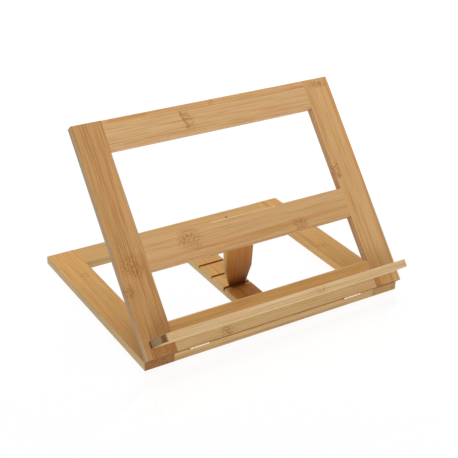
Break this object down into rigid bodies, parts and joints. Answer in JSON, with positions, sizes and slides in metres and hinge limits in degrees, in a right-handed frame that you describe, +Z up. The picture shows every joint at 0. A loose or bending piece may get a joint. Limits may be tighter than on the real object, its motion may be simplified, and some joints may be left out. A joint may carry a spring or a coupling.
{
  "type": "book stand",
  "caption": "Folding bamboo book stand: a framed reading panel with a ledge, hinged to a base frame and propped by a folding leg on a grooved rail.",
  "frame": {"origin": "middle of the bounding box's bottom face, on the table under the base frame", "axes": "+X to the stand's right along its width, +Y from the reader towards the back, +Z up"},
  "size_m": [0.34, 0.2892, 0.2171],
  "materials": {
    "base_bamboo": "satin lacquer",
    "panel_bamboo": "satin lacquer",
    "ledge_bamboo": "satin lacquer",
    "leg_bamboo": "satin lacquer",
    "dowel_wood": "raw",
    "hinge_steel": "nickel plated",
    "pin_steel": "bright",
    "screw_steel": "nickel plated"
  },
  "bodies": {
    "base": {"base_left_rail": "base_bamboo", "base_right_rail": "base_bamboo", "base_front_rail": "base_bamboo", "base_back_rail": "base_bamboo", "base_center_rail": "base_bamboo", "base_front_left_dowel_1": "dowel_wood", "base_front_left_dowel_2": "dowel_wood", "base_front_right_dowel_1": "dowel_wood", "base_front_right_dowel_2": "dowel_wood", "base_back_left_dowel_1": "dowel_wood", "base_back_left_dowel_2": "dowel_wood", "base_back_right_dowel_1": "dowel_wood", "base_back_right_dowel_2": "dowel_wood", "base_center_front_dowel_1": "dowel_wood", "base_center_front_dowel_2": "dowel_wood", "base_center_back_dowel_1": "dowel_wood", "base_center_back_dowel_2": "dowel_wood", "left_hinge_base_leaf": "hinge_steel", "right_hinge_base_leaf": "hinge_steel", "left_hinge_pin": "pin_steel", "right_hinge_pin": "pin_steel", "left_hinge_base_screw_1": "screw_steel", "left_hinge_base_screw_2": "screw_steel", "right_hinge_base_screw_1": "screw_steel", "right_hinge_base_screw_2": "screw_steel"},
    "panel": {"panel_left_stile": "panel_bamboo", "panel_right_stile": "panel_bamboo", "panel_bottom_rail": "panel_bamboo", "panel_middle_rail": "panel_bamboo", "panel_top_rail": "panel_bamboo", "ledge": "ledge_bamboo", "panel_bottom_left_dowel_1": "dowel_wood", "panel_bottom_left_dowel_2": "dowel_wood", "panel_bottom_right_dowel_1": "dowel_wood", "panel_bottom_right_dowel_2": "dowel_wood", "panel_middle_left_dowel_1": "dowel_wood", "panel_middle_left_dowel_2": "dowel_wood", "panel_middle_right_dowel_1": "dowel_wood", "panel_middle_right_dowel_2": "dowel_wood", "panel_top_left_dowel_1": "dowel_wood", "panel_top_left_dowel_2": "dowel_wood", "panel_top_right_dowel_1": "dowel_wood", "panel_top_right_dowel_2": "dowel_wood", "ledge_screw_1": "screw_steel", "ledge_screw_2": "screw_steel", "ledge_screw_3": "screw_steel", "left_hinge_panel_leaf": "hinge_steel", "right_hinge_panel_leaf": "hinge_steel", "leg_hinge_rail_leaf": "hinge_steel", "leg_hinge_pin": "pin_steel", "left_hinge_panel_screw_1": "screw_steel", "left_hinge_panel_screw_2": "screw_steel", "right_hinge_panel_screw_1": "screw_steel", "right_hinge_panel_screw_2": "screw_steel", "leg_hinge_rail_screw_1": "screw_steel", "leg_hinge_rail_screw_2": "screw_steel"},
    "leg": {"prop_leg": "leg_bamboo", "leg_hinge_leg_leaf": "hinge_steel", "leg_hinge_leg_screw_1": "screw_steel", "leg_hinge_leg_screw_2": "screw_steel"}
  },
  "joints": [
    {"name": "panel_tilt", "type": "hinge", "parent": "base", "child": "panel", "pos_m": [0, -0.11517, 0.01053], "axis": [1, 0, 0], "range_deg": [0, 65]},
    {"name": "leg_swing", "type": "hinge", "parent": "panel", "child": "leg", "pos_m": [0, -0.03404, 0.10524], "axis": [1, 0, 0], "range_deg": [0, 134.7]}
  ]
}
